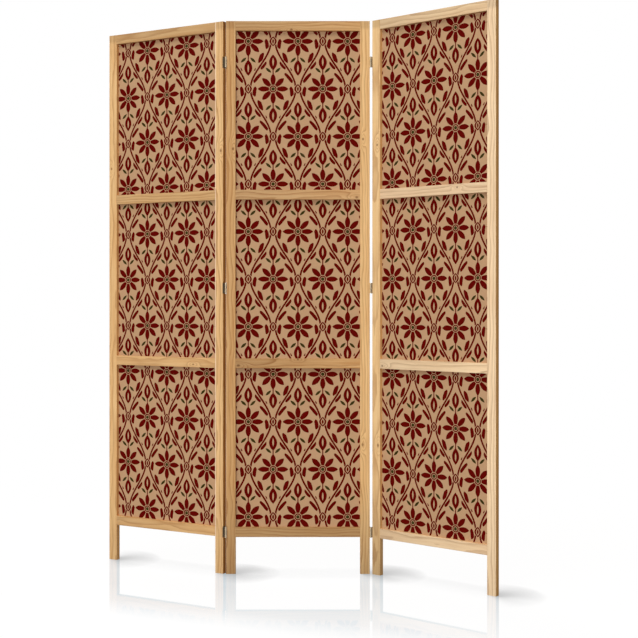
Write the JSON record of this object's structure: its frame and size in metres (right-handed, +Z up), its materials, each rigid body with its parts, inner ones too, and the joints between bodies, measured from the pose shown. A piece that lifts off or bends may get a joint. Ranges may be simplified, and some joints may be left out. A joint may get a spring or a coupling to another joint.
{
  "type": "folding screen",
  "caption": "Free-standing folding screen with pine-framed leaves, printed canvas panels behind crossbars, and two-way hinges that let each leaf swing to the front or the back.",
  "frame": {"origin": "on the floor, under the middle of the half-folded screen's outline", "axes": "+X to the viewer's right along the centre leaf, +Y from the printed front towards the back, +Z up"},
  "size_m": [1.2012, 0.5206, 1.71],
  "materials": {
    "pine_frame": "planed pine, clear matt lacquer",
    "pine_bead": "planed pine, unfinished",
    "beech_dowel": "turned beech",
    "printed_canvas": "woven canvas, printed on the front, plain on the back",
    "hinge_steel": "zinc plated",
    "pin_steel": "zinc plated",
    "screw_steel": "zinc plated",
    "brad_steel": "bright wire",
    "staple_wire": "galvanised wire"
  },
  "bodies": {
    "centre_leaf": {"centre_leaf_bottom_rail": "pine_frame", "centre_leaf_brads": "brad_steel", "centre_leaf_canvas": "printed_canvas", "centre_leaf_dowels": "beech_dowel", "centre_leaf_end_beads": "pine_bead", "centre_leaf_hinge_pins": "pin_steel", "centre_leaf_hinge_screws": "screw_steel", "centre_leaf_left_stile": "pine_frame", "centre_leaf_lower_crossbar": "pine_frame", "centre_leaf_right_stile": "pine_frame", "centre_leaf_side_beads": "pine_bead", "centre_leaf_staples": "staple_wire", "centre_leaf_top_rail": "pine_frame", "centre_leaf_upper_crossbar": "pine_frame", "left_high_hinge_centre_plate": "hinge_steel", "left_low_hinge_centre_plate": "hinge_steel", "left_middle_hinge_centre_plate": "hinge_steel", "right_high_hinge_centre_plate": "hinge_steel", "right_low_hinge_centre_plate": "hinge_steel", "right_middle_hinge_centre_plate": "hinge_steel"},
    "left_links": {"left_high_hinge_link": "hinge_steel", "left_low_hinge_link": "hinge_steel", "left_middle_hinge_link": "hinge_steel"},
    "left_leaf": {"left_high_hinge_outer_plate": "hinge_steel", "left_leaf_bottom_rail": "pine_frame", "left_leaf_brads": "brad_steel", "left_leaf_canvas": "printed_canvas", "left_leaf_dowels": "beech_dowel", "left_leaf_end_beads": "pine_bead", "left_leaf_hinge_pins": "pin_steel", "left_leaf_hinge_screws": "screw_steel", "left_leaf_left_stile": "pine_frame", "left_leaf_lower_crossbar": "pine_frame", "left_leaf_right_stile": "pine_frame", "left_leaf_side_beads": "pine_bead", "left_leaf_staples": "staple_wire", "left_leaf_top_rail": "pine_frame", "left_leaf_upper_crossbar": "pine_frame", "left_low_hinge_outer_plate": "hinge_steel", "left_middle_hinge_outer_plate": "hinge_steel"},
    "right_links": {"right_high_hinge_link": "hinge_steel", "right_low_hinge_link": "hinge_steel", "right_middle_hinge_link": "hinge_steel"},
    "right_leaf": {"right_high_hinge_outer_plate": "hinge_steel", "right_leaf_bottom_rail": "pine_frame", "right_leaf_brads": "brad_steel", "right_leaf_canvas": "printed_canvas", "right_leaf_dowels": "beech_dowel", "right_leaf_end_beads": "pine_bead", "right_leaf_hinge_pins": "pin_steel", "right_leaf_hinge_screws": "screw_steel", "right_leaf_left_stile": "pine_frame", "right_leaf_lower_crossbar": "pine_frame", "right_leaf_right_stile": "pine_frame", "right_leaf_side_beads": "pine_bead", "right_leaf_staples": "staple_wire", "right_leaf_top_rail": "pine_frame", "right_leaf_upper_crossbar": "pine_frame", "right_low_hinge_outer_plate": "hinge_steel", "right_middle_hinge_outer_plate": "hinge_steel"}
  },
  "joints": [
    {"name": "left_link_fold", "type": "hinge", "parent": "centre_leaf", "child": "left_links", "pos_m": [-0.20391, 0.02484, 0], "axis": [0, 0, 1], "range_deg": [0, 94.2]},
    {"name": "left_leaf_fold", "type": "hinge", "parent": "left_links", "child": "left_leaf", "pos_m": [-0.20234, 0.04618, 0], "axis": [0, 0, -1], "range_deg": [-24.9, 150.9]},
    {"name": "right_link_fold", "type": "hinge", "parent": "centre_leaf", "child": "right_links", "pos_m": [0.24504, 0.02484, 0], "axis": [0, 0, -1], "range_deg": [-39.9, 140.1]},
    {"name": "right_leaf_fold", "type": "hinge", "parent": "right_links", "child": "right_leaf", "pos_m": [0.25877, 0.04126, 0], "axis": [0, 0, 1], "range_deg": [0, 90]}
  ]
}
